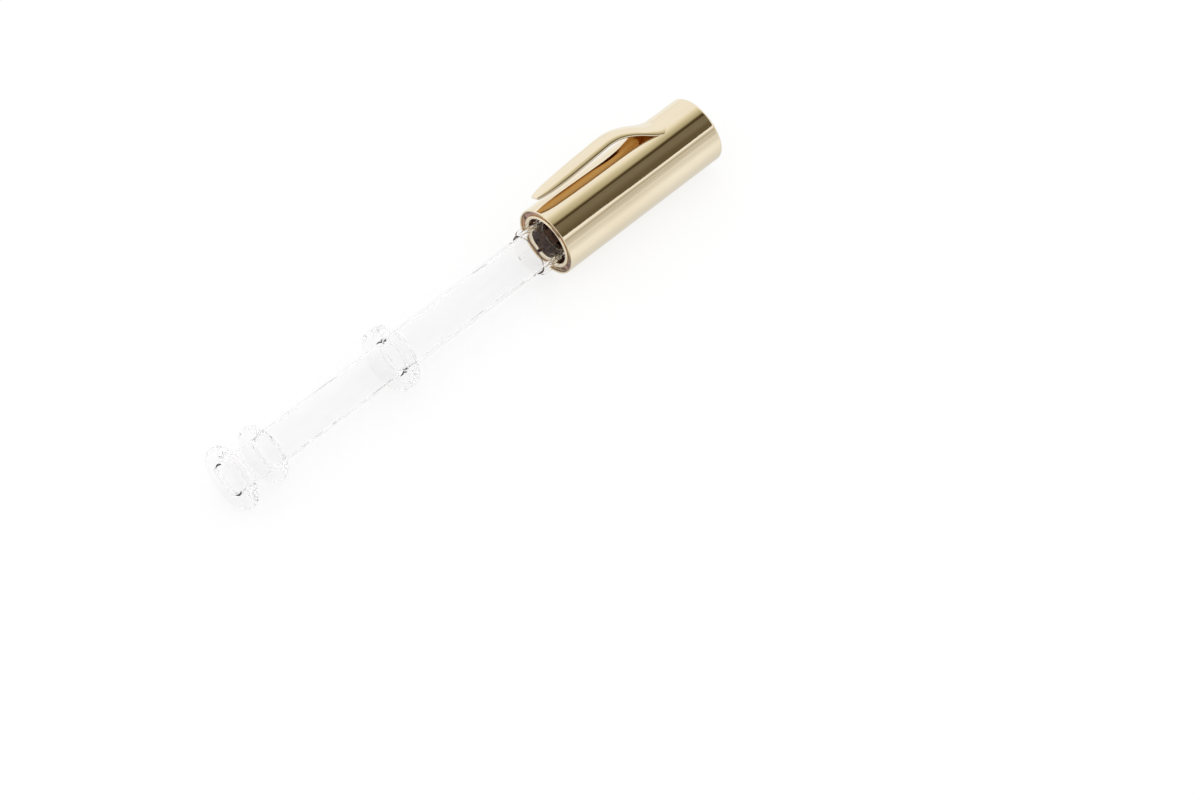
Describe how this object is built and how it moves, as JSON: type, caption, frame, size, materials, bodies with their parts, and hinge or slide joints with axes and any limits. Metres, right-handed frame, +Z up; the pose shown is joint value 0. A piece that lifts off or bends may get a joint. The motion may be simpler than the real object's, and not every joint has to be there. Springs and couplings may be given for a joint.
{
  "type": "pen-style stick holder",
  "caption": "Clear two-piece stick tube with flanged foot and collar, and a slightly tapered gold plated cap with a sprung pocket clip, set on the finned end of the tube.",
  "frame": {"origin": "centre of the stick tube's open end, flush with the foot flange's face", "axes": "+X along the tool from the open foot to the cap's closed end, +Z up as the tool lies; the clip stands 30 degrees from +Z towards +Y"},
  "size_m": [0.1631, 0.0193, 0.0231],
  "materials": {
    "clear_plastic": "clear, polished, almost colourless",
    "gold_plating": "pale gold mirror plating on moulded plastic",
    "brown_liner": "dark brown, glossy"
  },
  "bodies": {
    "barrel": {"collar": "clear_plastic", "upper_tube": "clear_plastic", "fin_guide": "clear_plastic"},
    "foot_section": {"lower_tube": "clear_plastic", "foot_flange": "clear_plastic", "grip_ring": "clear_plastic"},
    "cap": {"cap_shell": "gold_plating", "cap_liner": "brown_liner", "cap_end_disc": "gold_plating"},
    "clip": {"pocket_clip": "gold_plating"}
  },
  "joints": [
    {"name": "cap_slide", "type": "slide", "parent": "barrel", "child": "cap", "axis": [1, 0, 0], "range_m": [-0.0489, 0.03]},
    {"name": "lower_tube_slide", "type": "slide", "parent": "barrel", "child": "foot_section", "axis": [-1, 0, 0], "range_m": [0, 0.02]},
    {"name": "clip_flex", "type": "hinge", "parent": "cap", "child": "clip", "pos_m": [0.1507, 0.00468, 0.0081], "axis": [0, 0.866, -0.5], "range_deg": [0, 4], "stiffness_Nm_per_rad": 0.6}
  ]
}
